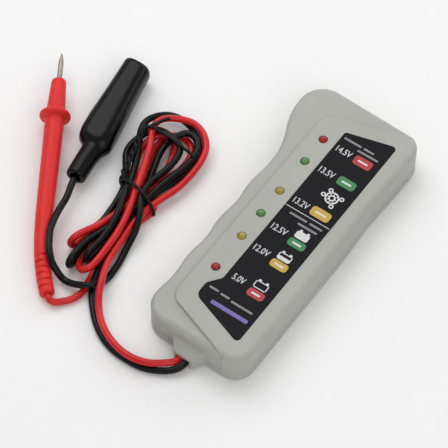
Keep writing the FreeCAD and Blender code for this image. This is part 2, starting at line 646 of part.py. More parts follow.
def probe_pieces():
    """Needle, moulded handle with its finger guard, crimp ferrule and the lead inside."""
    length, heading = probe_axis()
    nose = NEEDLE_OUT
    guard = nose + NOSE_LENGTH
    grip = guard + GUARD_THICK
    ferrule = nose + NEEDLE_BURIED - 6
    needle_r = NEEDLE_D / 2
    shank_r = NEEDLE_SHANK_D / 2
    needle = revolve([(0, 0), (0.6, 0.3), (NEEDLE_POINT, needle_r), (nose - PROBE_GAP, needle_r),
                      (nose - PROBE_GAP, shank_r), (nose + NEEDLE_BURIED, shank_r),
                      (nose + NEEDLE_BURIED, 0)])
    handle = revolve([
        (nose, 0), (nose, NOSE_D / 2 - 0.8), (nose + 0.3, NOSE_D / 2 - 0.25), (nose + 1.0, NOSE_D / 2),
        (guard, NOSE_BACK_D / 2), (guard + 0.2, GUARD_D / 2 - 0.9), (guard + 0.9, GUARD_D / 2 - 0.1),
        (guard + 1.6, GUARD_D / 2), (grip - 0.8, GUARD_D / 2 - 0.2), (grip - 0.1, GUARD_D / 2 - 1.1),
        (grip + 0.1, GRIP_D / 2 + 0.5), (grip + 0.8, GRIP_D / 2), (length - 6, GRIP_BACK_D / 2 + 0.15),
        (length, GRIP_BACK_D / 2), (length, 0)])
    bore = shank_r + PROBE_GAP
    socket = FERRULE_D / 2 + PROBE_GAP
    lead_bore = LEAD_R + PROBE_GAP
    hollow = revolve([(nose - 1, 0), (nose - 1, bore), (ferrule, bore), (ferrule, socket),
                      (ferrule + FERRULE_LENGTH, socket), (ferrule + FERRULE_LENGTH, lead_bore),
                      (length + 1, lead_bore), (length + 1, 0)])
    sleeve = revolve([(ferrule, 0), (ferrule, FERRULE_D / 2), (ferrule + FERRULE_LENGTH, FERRULE_D / 2),
                      (ferrule + FERRULE_LENGTH, 0)])
    pin_room = revolve([(ferrule - 1, 0), (ferrule - 1, bore), (nose + NEEDLE_BURIED, bore),
                        (nose + NEEDLE_BURIED, 0)])
    lead = revolve([(ferrule + FERRULE_LENGTH, 0), (ferrule + FERRULE_LENGTH, LEAD_R),
                    (length, LEAD_R), (length, 0)])
    shapes = [needle, handle.cut(hollow), sleeve.cut(pin_room), lead]
    return [aimed(shape, PROBE_TIP, heading) for shape in shapes]


def relief_rings():
    """Places along the bent sleeve, as shares of its length, and how deep each is cut in."""
    smooth = [(RELIEF_SMOOTH * i / 8, 0.0) for i in range(8)]
    steps = RELIEF_RIBS * 4
    ribbed = [(RELIEF_SMOOTH + (1 - RELIEF_SMOOTH) * i / steps, RELIEF_GROOVE if i % 4 == 2 else 0.0)
              for i in range(steps + 1)]
    return smooth + ribbed


def strain_relief():
    """The handle's bent tail: smooth at first, then ribbed down to where the lead comes out."""
    _, heading = probe_axis()
    reach = (PROBE_RELIEF_END - PROBE_TAIL).Length * 0.36
    near = PROBE_TAIL + heading * reach
    far = PROBE_RELIEF_END - RELIEF_HEADING * reach
    rings = []
    for t, cut in relief_rings():
        centre = (PROBE_TAIL * (1 - t) ** 3 + near * (3 * t * (1 - t) ** 2)
                  + far * (3 * t * t * (1 - t)) + PROBE_RELIEF_END * t ** 3)
        turn = ((near - PROBE_TAIL) * (1 - t) ** 2 + (far - near) * (2 * t * (1 - t))
                + (PROBE_RELIEF_END - far) * t * t)
        radius = (GRIP_BACK_D + (RELIEF_BACK_D - GRIP_BACK_D) * t) / 2 - cut
        rings.append(Part.Wire(Part.makeCircle(radius, centre, turn)))
    return Part.makeLoft(rings, True, True)


# ---------------------------------------------------------------- clip
def clip_placement():
    """The clip is drawn with its neck's end at the origin, its mouth along +X, up along +Z."""
    along = CLIP_MOUTH - CLIP_NECK_END
    turn = FreeCAD.Rotation(V(0, 0, 1), math.degrees(math.atan2(along.y, along.x)))
    return FreeCAD.Placement(CLIP_NECK_END, turn)


def placed(shape):
    moved = shape.copy()
    moved.Placement = clip_placement().multiply(moved.Placement)
    return moved


def boot_length():
    return (CLIP_MOUTH - CLIP_NECK_END).Length


def oval(at, wide, tall, sharpness=2.6):
    """Rounded section between an ellipse and a box, as a closed spline across the clip."""
    points = []
    for i in range(16):
        angle = 2 * math.pi * i / 16
        c = math.cos(angle)
        s = math.sin(angle)
        y = math.copysign(abs(c) ** (2 / sharpness), c) * wide / 2
        z = math.copysign(abs(s) ** (2 / sharpness), s) * tall / 2
        points.append(V(at, y, z))
    curve = Part.BSplineCurve()
    curve.interpolate(Points=points, PeriodicFlag=True)
    return Part.Wire(curve.toShape())


def boot_form(inset, start, end):
    """Boot shape drawn in by an inset: round neck, shoulder, then a tapering flat body."""
    length = boot_length()
    root = (BOOT_NECK_LENGTH, BOOT_NECK_ROOT_D, BOOT_NECK_ROOT_D)
    neck = loft_between((start, BOOT_NECK_D, BOOT_NECK_D), root, inset)
    shoulder = loft_between(root, (BOOT_SHOULDER, BOOT_WIDE, BOOT_TALL), inset)
    slope = (end - BOOT_SHOULDER) / (length - BOOT_SHOULDER)
    mouth = (end, BOOT_WIDE + (BOOT_MOUTH_WIDE - BOOT_WIDE) * slope,
             BOOT_TALL + (BOOT_MOUTH_TALL - BOOT_TALL) * slope)
    body = loft_between((BOOT_SHOULDER, BOOT_WIDE, BOOT_TALL), mouth, inset)
    return neck.fuse([shoulder, body])


def loft_between(first, second, inset):
    wires = [oval(at, wide - 2 * inset, tall - 2 * inset) for at, wide, tall in (first, second)]
    return Part.makeLoft(wires, True, True)


def lip_zone(grow):
    """The part of the boot that lifts with the upper jaw: above the split, ahead of the pivot."""
    far = boot_length() + 5
    side = math.tan(math.radians(6.0))
    low = LIP_GAP / 2 - grow
    back = PIVOT_AT + 1.0 - grow * 8.5
    face = Part.Face(Part.makePolygon([
        V(back, -20, low), V(far, -20, low), V(far, -20, 20), V(back + side * 20, -20, 20),
        V(back, -20, low)]))
    return face.extrude(V(0, 40, 0))


def boot_pieces():
    hollow = boot_form(BOOT_WALL, -1, boot_length() + 1)
    sleeve = boot_form(0, 0, boot_length()).cut(hollow)
    lip = sleeve.common(lip_zone(0))
    body = sleeve.cut(lip_zone(LIP_GAP))
    return body, lip


def side_plate(profile, half_width):
    """Solid drawn in the XZ plane and thickened both ways across the clip."""
    points = [V(x, -half_width, z) for x, z in profile]
    return Part.Face(Part.makePolygon(points + [points[0]])).extrude(V(0, 2 * half_width, 0))


def toothed_edge(start, end, level, sign):
    """Zigzag points of the gripping edge, from the tip back to where the teeth begin."""
    points = []
    count = int((end - start) / TOOTH_PITCH)
    for i in range(count):
        points.append((end - i * TOOTH_PITCH, level))
        points.append((end - (i + 0.5) * TOOTH_PITCH, level - sign * TOOTH_DEPTH))
    points.append((end - count * TOOTH_PITCH, level))
    return points


def fixed_jaw():
    """Lower jaw: folded channel with toothed edges, two pivot ears and the crimp barrel."""
    low = -JAW_TALL
    teeth = toothed_edge(PIVOT_AT + 6, JAW_TIP_AT, -0.1, 1)
    profile = [(BOOT_NECK_LENGTH + 2, -1.4), (BOOT_NECK_LENGTH + 4, low), (PIVOT_AT + 6, low),
               (JAW_TIP_AT, -1.9)] + teeth
    profile += [(PIVOT_AT + 3, -0.1), (PIVOT_AT + 2, 1.9), (PIVOT_AT - 2, 1.9), (PIVOT_AT - 3.4, -1.4)]
    jaw = side_plate(profile, FIXED_HALF)
    inner = [(BOOT_NECK_LENGTH + 1, low + SHEET), (PIVOT_AT + 6, low + SHEET),
             (JAW_TIP_AT - SHEET, -1.9 + SHEET),
             (JAW_TIP_AT - SHEET, 5), (BOOT_NECK_LENGTH + 1, 5)]
    jaw = jaw.cut(side_plate(inner, FIXED_HALF - SHEET))
    across = Part.makeCylinder(PIN_D / 2, 20, V(PIVOT_AT, -10, 0), V(0, 1, 0))
    barrel_length = BOOT_NECK_LENGTH + 3 - BARREL_START
    barrel = Part.makeCylinder(BARREL_D / 2, barrel_length, V(BARREL_START, 0, 0), V(1, 0, 0))
    tongue = block(BOOT_NECK_LENGTH - 1, BOOT_NECK_LENGTH + 5, -1.6, 1.6, -2.4, -1.4)
    jaw = jaw.fuse([barrel, tongue, block(BOOT_NECK_LENGTH + 2, BOOT_NECK_LENGTH + 5, -1.6, 1.6, -2.9, -1.4)])
    return jaw.cut(across).removeSplitter()


def moving_jaw():
    """Upper jaw: narrower channel that turns on the pin between the ears, with a short lever."""
    top = JAW_TALL
    teeth = toothed_edge(PIVOT_AT + 6, JAW_TIP_AT, 0.2, -1)
    teeth.reverse()
    profile = [(PIVOT_AT - 9.5, top - 0.6), (PIVOT_AT - 9.5, top), (PIVOT_AT + 6, top), (JAW_TIP_AT, 2.1)]
    profile += teeth[::-1]
    profile += [(PIVOT_AT + 3, 0.2), (PIVOT_AT + 1.6, -1.6), (PIVOT_AT - 1.6, -1.6), (PIVOT_AT - 2.6, 1.2)]
    jaw = side_plate(profile, MOVING_HALF)
    inner = [(PIVOT_AT - 12, top - SHEET), (PIVOT_AT + 6, top - SHEET), (JAW_TIP_AT - SHEET, 2.1 - SHEET),
             (JAW_TIP_AT - SHEET, -5), (PIVOT_AT - 12, -5)]
    jaw = jaw.cut(side_plate(inner, MOVING_HALF - SHEET))
    pad = block(PIVOT_AT + 5, PIVOT_AT + 17, -1.5, 1.5, 2.6, 6).common(
        boot_form(BOOT_WALL, BOOT_SHOULDER - 1, boot_length()))
    across = Part.makeCylinder(PIN_D / 2 + PIN_GAP, 20, V(PIVOT_AT, -10, 0), V(0, 1, 0))
    return jaw.fuse(pad).cut(across).removeSplitter()


def pivot_pin():
    half = FIXED_HALF + 0.5
    pin = Part.makeCylinder(PIN_D / 2, 2 * half, V(PIVOT_AT, -half, 0), V(0, 1, 0))
    heads = [Part.makeCylinder(PIN_D / 2 + 0.5, 0.5, V(PIVOT_AT, y, 0), V(0, 1, 0))
             for y in (-half, half - 0.5)]
    return pin.fuse(heads).removeSplitter()


def clip_spring():
    """Torsion spring round the pin: close turns, and a leg from each end towards the levers."""
    pitch = SPRING_WIRE + 0.02
    radius = SPRING_D / 2
    turns = SPRING_TURNS + 0.57
    coil = Part.makeHelix(pitch, pitch * turns, radius).Edges[0]
    first = coil.valueAt(coil.FirstParameter)
    last = coil.valueAt(coil.LastParameter)
    first_leg = first - coil.tangentAt(coil.FirstParameter) * SPRING_LOW_LEG
    last_leg = last + coil.tangentAt(coil.LastParameter) * SPRING_TOP_LEG
    path = Part.Wire([line(first_leg, first), coil, line(last, last_leg)])
    ring = Part.Wire(Part.makeCircle(SPRING_WIRE / 2, first_leg, first - first_leg))
    spring = path.makePipeShell([ring], True, True)
    spring.translate(V(0, 0, -pitch * turns / 2))
    spring.rotate(V(0, 0, 0), V(1, 0, 0), 90)
    spring.rotate(V(0, 0, 0), V(0, 1, 0), SPRING_TURN)
    spring.translate(V(PIVOT_AT, 0, 0))
    return spring


# ---------------------------------------------------------------- build
def build_case():
    save("front_shell", front_shell())
    save("back_shell", back_shell())
    save("face_label", face_label())
    save("case_screws", *case_screws())
    colours = ("red", "green", "yellow", "green", "yellow", "red")
    for i, (y, colour) in enumerate(zip(LED_YS, colours)):
        save("led_%d_%s" % (i + 1, colour), led_body(y))
    save("led_legs", *led_legs())


def build_circuit():
    save("circuit_board", circuit_board())
    save("comparator_chips", *comparator_chips())
    save("chip_resistors", *chip_resistors())
    save("voltage_reference", voltage_reference())
    save("polarity_diode", polarity_diode())
    save("filter_capacitor", filter_capacitor())
    save("red_wire_inside", wire_inside(RED_EXIT_X))
    save("black_wire_inside", wire_inside(BLACK_EXIT_X))
    save("solder_joints", *solder_joints())


def save_outside(name, shape):
    """Everything outside the case moves with the hood's lip."""
    save(name, shape.translated(OUTSIDE_SHIFT))


def build_leads():
    for name, route in (("red_lead_near", RED_NEAR), ("black_lead_near", BLACK_NEAR),
                        ("red_lead_far", RED_FAR), ("black_lead_far", BLACK_FAR)):
        save_outside(name, lead_tube(name, route))
    hank, tie = hank_and_tie()
    save_outside("lead_hank", hank)
    save_outside("twist_tie", tie)


def build_probe():
    names = ("probe_needle", "probe_handle", "probe_ferrule", "probe_inner_lead")
    for name, shape in zip(names, probe_pieces()):
        save_outside(name, shape)
    save_outside("probe_strain_relief", strain_relief())


def build_clip():
    body, lip = boot_pieces()
    save_outside("clip_boot", placed(body))
    save_outside("clip_boot_lip", placed(lip))
    save_outside("clip_fixed_jaw", placed(fixed_jaw()))
    save_outside("clip_moving_jaw", placed(moving_jaw()))
    save_outside("clip_pivot_pin", placed(pivot_pin()))
    save_outside("clip_spring", placed(clip_spring()))


os.makedirs("parts", exist_ok=True)
build_case()
build_circuit()
build_leads()
build_probe()
build_clip()
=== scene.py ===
"""Looks for the pocket battery tester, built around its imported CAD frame.

Named sizes are in millimetres, except the camera, floor and lights, which are in metres.
"""

import math

import bpy
import bmesh
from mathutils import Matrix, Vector


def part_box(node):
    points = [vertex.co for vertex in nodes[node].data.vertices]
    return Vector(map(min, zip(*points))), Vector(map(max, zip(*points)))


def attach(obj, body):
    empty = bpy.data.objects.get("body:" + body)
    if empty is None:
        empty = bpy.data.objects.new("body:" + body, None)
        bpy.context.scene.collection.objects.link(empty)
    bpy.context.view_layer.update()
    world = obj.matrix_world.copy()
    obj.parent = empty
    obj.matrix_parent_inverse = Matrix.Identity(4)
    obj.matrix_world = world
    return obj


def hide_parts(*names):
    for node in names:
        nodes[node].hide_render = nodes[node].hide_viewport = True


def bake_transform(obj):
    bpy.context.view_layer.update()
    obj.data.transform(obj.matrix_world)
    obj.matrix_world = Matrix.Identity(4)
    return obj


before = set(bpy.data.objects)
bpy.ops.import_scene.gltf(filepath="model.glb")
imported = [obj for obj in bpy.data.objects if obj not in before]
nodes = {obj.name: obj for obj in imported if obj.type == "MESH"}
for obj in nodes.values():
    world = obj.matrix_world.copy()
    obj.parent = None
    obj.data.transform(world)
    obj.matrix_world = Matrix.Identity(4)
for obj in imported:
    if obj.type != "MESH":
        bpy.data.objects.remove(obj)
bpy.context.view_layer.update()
MM = 0.001
REST = "tester"


def metres(points):
    return [Vector((x * MM, y * MM, z * MM)) for x, y, z in points]


# ---------------------------------------------------------------- camera, floor, light
scene = bpy.context.scene
scene.view_settings.view_transform = "Standard"

CAMERA_PLACE = (0.26663, -0.40736, 0.75191)
CAMERA_AIM = (-0.0201606, -0.0043900, 0.0)
CAMERA_LENS = 197.87
SENSOR_WIDTH = 36.0
camera = bpy.data.objects.new("camera", bpy.data.cameras.new("camera"))
camera.data.sensor_width = SENSOR_WIDTH
camera.data.lens = CAMERA_LENS
camera.data.clip_start = 0.05
camera.data.clip_end = 10.0
camera.location = CAMERA_PLACE
aim = Vector(CAMERA_AIM) - camera.location
camera.rotation_euler = aim.to_track_quat("-Z", "Y").to_euler()
scene.collection.objects.link(camera)
scene.camera = camera

floor_mesh = bpy.data.meshes.new("floor")
FLOOR_HALF = 3.0
floor_corners = [(-FLOOR_HALF, -FLOOR_HALF, 0), (FLOOR_HALF, -FLOOR_HALF, 0),
                 (FLOOR_HALF, FLOOR_HALF, 0), (-FLOOR_HALF, FLOOR_HALF, 0)]
floor_mesh.from_pydata(floor_corners, [], [(0, 1, 2, 3)])
floor = bpy.data.objects.new("floor", floor_mesh)
scene.collection.objects.link(floor)


def area_light(name, place, target, size, power, colour=(1, 1, 1)):
    light = bpy.data.lights.new(name, "AREA")
    light.shape = "RECTANGLE"
    light.size, light.size_y = size
    light.energy = power
    light.color = colour
    thing = bpy.data.objects.new(name, light)
    thing.location = place
    thing.rotation_euler = (Vector(target) - Vector(place)).to_track_quat("-Z", "Y").to_euler()
    scene.collection.objects.link(thing)


CENTRE = (-0.02, -0.01, 0.0)
area_light("key", (-0.55, 0.30, 0.95), CENTRE, (0.9, 0.9), 5.0)
area_light("fill", (0.75, -0.45, 0.80), CENTRE, (0.8, 0.8), 2.6)
area_light("rim", (0.10, 0.95, 0.55), CENTRE, (1.0, 0.5), 2.2)
world = bpy.data.worlds.new("studio")
world.use_nodes = True
world.node_tree.nodes["Background"].inputs["Color"].default_value = (1, 1, 1, 1)
world.node_tree.nodes["Background"].inputs["Strength"].default_value = 0.50
scene.world = world


# ---------------------------------------------------------------- materials
for imported in list(bpy.data.materials):
    bpy.data.materials.remove(imported)


def linear(r, g, b):
    """sRGB 0..255 to the linear colour that shader sockets take."""
    out = []
    for c in (r / 255, g / 255, b / 255):
        out.append(c / 12.92 if c <= 0.04045 else ((c + 0.055) / 1.055) ** 2.4)
    return (*out, 1.0)


def surface(name, low, high, rough=(0.4, 0.5), patch=60.0, grain=1500.0, bump=0.05, depth=0.00005,
            metallic=0.0, specular=0.5, transmission=0.0, subsurface=0.0,
            stretch=(1, 1, 1), streak=0.0):
    """Principled material whose colour, roughness and relief all come from noise in object space.

    low and high are the darkest and lightest tints, patch and grain the sizes of the broad and the
    fine pattern in cycles per metre, stretch an anisotropy for drawn surfaces, and streak moves
    the colour and roughness from the broad pattern towards the fine one.
    """
    material = bpy.data.materials.new(name)
    material.use_nodes = True
    tree = material.node_tree
    shader = tree.nodes["Principled BSDF"]
    coords = tree.nodes.new("ShaderNodeTexCoord")
    mapping = tree.nodes.new("ShaderNodeMapping")
    mapping.inputs["Scale"].default_value = stretch
    tree.links.new(coords.outputs["Object"], mapping.inputs["Vector"])

    def noise(scale, detail, roughness):
        node = tree.nodes.new("ShaderNodeTexNoise")
        node.inputs["Scale"].default_value = scale
        node.inputs["Detail"].default_value = detail
        node.inputs["Roughness"].default_value = roughness
        tree.links.new(mapping.outputs["Vector"], node.inputs["Vector"])
        return node

    broad = noise(patch, 3.0, 0.55)
    fine = noise(grain, 2.0, 0.6)
    blend = tree.nodes.new("ShaderNodeMix")
    blend.data_type = "FLOAT"
    blend.inputs[0].default_value = 0.35 + streak
    tree.links.new(broad.outputs["Fac"], blend.inputs[2])
    tree.links.new(fine.outputs["Fac"], blend.inputs[3])
    ramp = tree.nodes.new("ShaderNodeValToRGB")
    ramp.color_ramp.elements[0].position = 0.35
    ramp.color_ramp.elements[0].color = low
    ramp.color_ramp.elements[1].position = 0.65
    ramp.color_ramp.elements[1].color = high
    tree.links.new(blend.outputs[0], ramp.inputs["Fac"])
    tree.links.new(ramp.outputs["Color"], shader.inputs["Base Color"])
    spread = tree.nodes.new("ShaderNodeMapRange")
    spread.inputs["From Min"].default_value = 0.3
    spread.inputs["From Max"].default_value = 0.7
    spread.inputs["To Min"].default_value = rough[0]
    spread.inputs["To Max"].default_value = rough[1]
    tree.links.new(blend.outputs[0], spread.inputs["Value"])
    tree.links.new(spread.outputs["Result"], shader.inputs["Roughness"])
    relief = tree.nodes.new("ShaderNodeBump")
    relief.inputs["Strength"].default_value = bump
    relief.inputs["Distance"].default_value = depth
    tree.links.new(fine.outputs["Fac"], relief.inputs["Height"])
    tree.links.new(relief.outputs["Normal"], shader.inputs["Normal"])
    shader.inputs["Metallic"].default_value = metallic
    shader.inputs["Specular IOR Level"].default_value = specular
    shader.inputs["Transmission Weight"].default_value = transmission
    shader.inputs["Subsurface Weight"].default_value = subsurface
    shader.inputs["Subsurface Radius"].default_value = (0.002, 0.001, 0.001)
    return material


CASE = surface("case_plastic", linear(166, 167, 160), linear(176, 177, 170), rough=(0.42, 0.52), patch=40,
               grain=2600, bump=0.35, depth=0.00004, specular=0.45)
LABEL = surface("label_film", linear(14, 14, 19), linear(20, 20, 25), rough=(0.42, 0.5), patch=90,
                grain=4200, bump=0.12, depth=0.00002, specular=0.12)
LAMP_RED = surface("lamp_red", linear(150, 12, 16), linear(196, 24, 26), rough=(0.12, 0.2), patch=300,
                   grain=2000, bump=0.05, specular=0.6, transmission=0.15, subsurface=0.3)
LAMP_GREEN = surface("lamp_green", linear(70, 128, 62), linear(104, 160, 86), rough=(0.12, 0.2), patch=300,
                     grain=2000, bump=0.05, specular=0.6, transmission=0.15, subsurface=0.3)
LAMP_YELLOW = surface("lamp_yellow", linear(160, 146, 40), linear(196, 180, 66), rough=(0.12, 0.2), patch=300,
                      grain=2000, bump=0.05, specular=0.6, transmission=0.15, subsurface=0.3)
TINNED = surface("tinned_wire", linear(176, 178, 182), linear(206, 207, 210), rough=(0.25, 0.42), patch=400,
                 grain=3000, bump=0.2, metallic=1.0)
STEEL = surface("screw_steel", linear(150, 152, 156), linear(186, 188, 192), rough=(0.22, 0.4), patch=300,
                grain=3000, bump=0.2, metallic=1.0)
BOARD = surface("board_green", linear(18, 74, 44), linear(34, 104, 62), rough=(0.3, 0.42), patch=150,
                grain=1800, bump=0.4, depth=0.00006)
CHIP = surface("chip_black", linear(24, 24, 26), linear(42, 42, 44), rough=(0.5, 0.7), patch=300,
               grain=5000, bump=0.5, depth=0.00003)
CAN = surface("can_aluminium", linear(176, 178, 180), linear(210, 212, 214), rough=(0.2, 0.34), patch=120,
              grain=2500, bump=0.25, metallic=1.0, stretch=(1, 1, 12))
LEAD_RED = surface("lead_red", linear(198, 18, 24), linear(214, 28, 32), rough=(0.24, 0.34), patch=160,
                   grain=2400, bump=0.12, depth=0.00003, specular=0.4)
LEAD_BLACK = surface("lead_black", linear(7, 7, 9), linear(14, 14, 16), rough=(0.22, 0.32), patch=160,
                     grain=2400, bump=0.12, depth=0.00003, specular=0.22)
TIE = surface("tie_black", linear(9, 9, 11), linear(18, 18, 20), rough=(0.38, 0.5), patch=400,
              grain=2600, bump=0.25, depth=0.00004, specular=0.25)
NEEDLE = surface("needle_steel", linear(132, 124, 114), linear(176, 168, 158), rough=(0.30, 0.46), patch=250,
                 grain=3000, bump=0.25, depth=0.00003, metallic=0.75, streak=0.2)
PROBE = surface("probe_red", linear(216, 34, 34), linear(228, 44, 42), rough=(0.40, 0.50), patch=70,
                grain=2400, bump=0.18, depth=0.00004, specular=0.3)
BRASS = surface("brass", linear(176, 140, 70), linear(214, 178, 100), rough=(0.25, 0.4), patch=200,
                grain=2500, bump=0.2, metallic=1.0)
BOOT = surface("boot_black", linear(6, 6, 7), linear(13, 12, 13), rough=(0.16, 0.26), patch=90,
               grain=2200, bump=0.12, depth=0.00004, specular=0.2)
JAWS = surface("jaw_steel", linear(168, 170, 174), linear(206, 208, 210), rough=(0.2, 0.38), patch=200,
               grain=2800, bump=0.25, metallic=1.0, stretch=(1, 3, 1))
INK_WHITE = surface("ink_white", linear(206, 206, 206), linear(224, 224, 224), rough=(0.4, 0.5), patch=500,
                    grain=5000, bump=0.1)
INK_GREY = surface("ink_grey", linear(120, 120, 124), linear(140, 140, 144), rough=(0.4, 0.5), patch=500,
                   grain=5000, bump=0.1)
INK_RED = surface("ink_red", linear(168, 34, 40), linear(186, 46, 50), rough=(0.38, 0.48), patch=400,
                  grain=5000, bump=0.1)
INK_GREEN = surface("ink_green", linear(40, 118, 62), linear(54, 138, 76), rough=(0.38, 0.48), patch=400,
                    grain=5000, bump=0.1)
INK_YELLOW = surface("ink_yellow", linear(186, 150, 46), linear(206, 170, 64), rough=(0.38, 0.48), patch=400,
                     grain=5000, bump=0.1)
INK_PURPLE = surface("ink_purple", linear(104, 82, 158), linear(126, 104, 180), rough=(0.38, 0.48), patch=400,
                     grain=5000, bump=0.1)
FLOOR = surface("floor_white", linear(246, 246, 246), linear(250, 250, 250), rough=(0.6, 0.7), patch=8,
                grain=200, bump=0.02)
floor.data.materials.append(FLOOR)

NODE_MATERIALS = {
    "front_shell": CASE, "back_shell": CASE, "face_label": LABEL, "case_screws": STEEL,
    "led_1_red": LAMP_RED, "led_2_green": LAMP_GREEN, "led_3_yellow": LAMP_YELLOW,
    "led_4_green": LAMP_GREEN, "led_5_yellow": LAMP_YELLOW, "led_6_red": LAMP_RED,
    "led_legs": TINNED, "circuit_board": BOARD, "comparator_chips": CHIP, "chip_resistors": CHIP,
    "voltage_reference": CHIP, "polarity_diode": CHIP, "filter_capacitor": CAN,
    "red_wire_inside": LEAD_RED, "black_wire_inside": LEAD_BLACK, "solder_joints": TINNED,
    "probe_needle": NEEDLE, "probe_handle": PROBE, "probe_ferrule": BRASS, "probe_inner_lead": LEAD_RED,
    "clip_fixed_jaw": JAWS, "clip_moving_jaw": JAWS, "clip_pivot_pin": STEEL, "clip_spring": STEEL,
    "red_lead_near": LEAD_RED, "black_lead_near": LEAD_BLACK, "red_lead_far": LEAD_RED,
    "black_lead_far": LEAD_BLACK, "lead_hank": LEAD_BLACK, "twist_tie": TIE,
    "probe_strain_relief": PROBE, "clip_boot": BOOT, "clip_boot_lip": BOOT,
}
for name, thing in nodes.items():
    thing.data.materials.clear()
    thing.data.materials.append(NODE_MATERIALS[name])


# ---------------------------------------------------------------- mesh helpers
def add_mesh(name, verts, faces, material, body=REST, slot=None, smooth=True):
    mesh = bpy.data.meshes.new(name)
    mesh.from_pydata([tuple(v) for v in verts], [], faces)
    mesh.validate()
    mesh.materials.append(material)
    mesh.polygons.foreach_set("use_smooth", [smooth] * len(mesh.polygons))
    thing = bpy.data.objects.new(name, mesh)
    scene.collection.objects.link(thing)
    if body:
        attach(thing, body)
    return thing


def add_curve(name, splines, radius, material, resolution=6):
    """Round tube along open NURBS splines: points first, then order and end points."""
    data = bpy.data.curves.new(name, "CURVE")
    data.dimensions = "3D"
    data.resolution_u = resolution
    data.bevel_depth = radius
    data.bevel_resolution = 5
    data.use_fill_caps = True
    for points in splines:
        spline = data.splines.new("NURBS")
        spline.points.add(len(points) - 1)
        for slot, point in zip(spline.points, points):
            slot.co = (*point, 1.0)
        spline.order_u = 3
        spline.use_endpoint_u = True
    data.materials.append(material)
    thing = bpy.data.objects.new(name, data)
    scene.collection.objects.link(thing)
    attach(thing, REST)
    return thing


# ---------------------------------------------------------------- test leads
LEAD_D = 2.6
RED_NEAR = [
    (0.9, -61.1, 3.1), (0.9, -62.9, 3.1), (-0.8, -65.0, 3.6), (-3.2, -67.0, 3.7), (-6.3, -69.4, 4.0),
    (-11.1, -71.0, 4.1), (-17.2, -71.2, 4.2), (-23.9, -69.2, 4.0), (-29.3, -66.2, 4.0), (-33.8, -62.1, 4.2),
    (-37.2, -57.4, 5.6), (-39.6, -52.1, 6.9),
]
RED_HANK = [
    (-42.2, -46.6, 5.5), (-43.6, -41.0, 5.0), (-44.6, -35.0, 4.5), (-45.8, -27.0, 4.0), (-45.7, -20.5, 3.8),
    (-45.0, -16.1, 4.0), (-43.4, -10.5, 4.2), (-41.2, -3.5, 4.4), (-40.7, 4.5, 4.6), (-41.2, 11.5, 4.8),
    (-43.2, 17.2, 5.1), (-47.6, 21.3, 5.5), (-53.0, 22.8, 5.9), (-58.2, 21.0, 6.5), (-63.7, 16.7, 7.3),
    (-64.1, 11.4, 7.3), (-60.4, 5.4, 7.1), (-57.6, -1.0, 7.0), (-54.9, -8.0, 7.0), (-52.4, -14.5, 7.0),
    (-50.0, -21.1, 7.1), (-47.9, -27.5, 7.0), (-46.7, -34.0, 6.9), (-46.0, -40.8, 7.0), (-45.5, -46.8, 7.1),
    (-46.0, -51.6, 6.5), (-48.9, -53.2, 4.9), (-51.7, -50.2, 3.0), (-52.5, -46.6, 2.0), (-52.7, -42.0, 1.8),
    (-52.6, -36.0, 1.7), (-52.8, -28.0, 1.6), (-53.1, -20.5, 1.6), (-53.5, -14.2, 1.5), (-54.8, -8.0, 1.5),
    (-57.2, -2.0, 1.5), (-59.6, 4.5, 1.4), (-60.4, 10.5, 1.4), (-58.5, 16.5, 1.4), (-53.4, 17.4, 1.8),
    (-49.0, 15.6, 2.2), (-46.3, 11.0, 2.6), (-45.8, 4.5, 3.0), (-47.3, -2.4, 3.5), (-49.3, -8.9, 4.0),
    (-50.5, -14.9, 4.3), (-52.4, -20.9, 4.4), (-53.2, -27.0, 4.9), (-54.3, -33.0, 5.6), (-56.5, -38.2, 6.1),
    (-57.6, -41.2, 6.7), (-58.4, -43.9, 6.8), (-59.0, -45.5, 5.2), (-59.0, -45.5, 3.0), (-58.5, -43.9, 1.4),
    (-58.2, -41.4, 1.4), (-57.8, -36.8, 1.4), (-56.5, -29.4, 1.4), (-55.8, -21.5, 1.4), (-56.1, -13.7, 1.4),
    (-58.8, -7.5, 1.6), (-62.2, -1.5, 2.0), (-64.2, 5.0, 2.5), (-62.7, 11.0, 3.1), (-59.5, 13.3, 3.7),
    (-55.4, 13.6, 2.5), (-52.8, 9.2, 1.7), (-51.0, 3.5, 1.5), (-50.2, -2.6, 1.4), (-48.1, -8.8, 1.4),
    (-43.5, -15.6, 1.4), (-45.6, -22.5, 1.4), (-45.8, -29.0, 1.4), (-45.8, -35.5, 1.4), (-46.1, -42.0, 1.4),
    (-46.0, -48.5, 1.4),
]
RED_FAR = [
    (-53.0, -67.1, 2.9), (-51.5, -68.4, 2.9), (-49.4, -68.1, 2.1), (-47.7, -65.9, 1.4), (-45.9, -63.9, 1.4),
    (-44.6, -61.4, 1.4), (-44.1, -58.8, 1.4), (-44.1, -56.8, 1.4), (-44.9, -53.7, 1.4),
]
BLACK_NEAR = [
    (3.8, -61.1, 3.1), (3.8, -62.9, 3.1), (2.2, -65.4, 2.2), (-0.8, -67.8, 1.7), (-4.8, -69.9, 1.4),
    (-9.1, -71.4, 1.4), (-14.7, -71.7, 1.4), (-20.8, -71.4, 1.4), (-27.3, -69.2, 1.4), (-32.9, -65.5, 1.4),
    (-37.5, -61.1, 1.4), (-41.3, -56.6, 1.4), (-42.8, -52.4, 2.7),
]
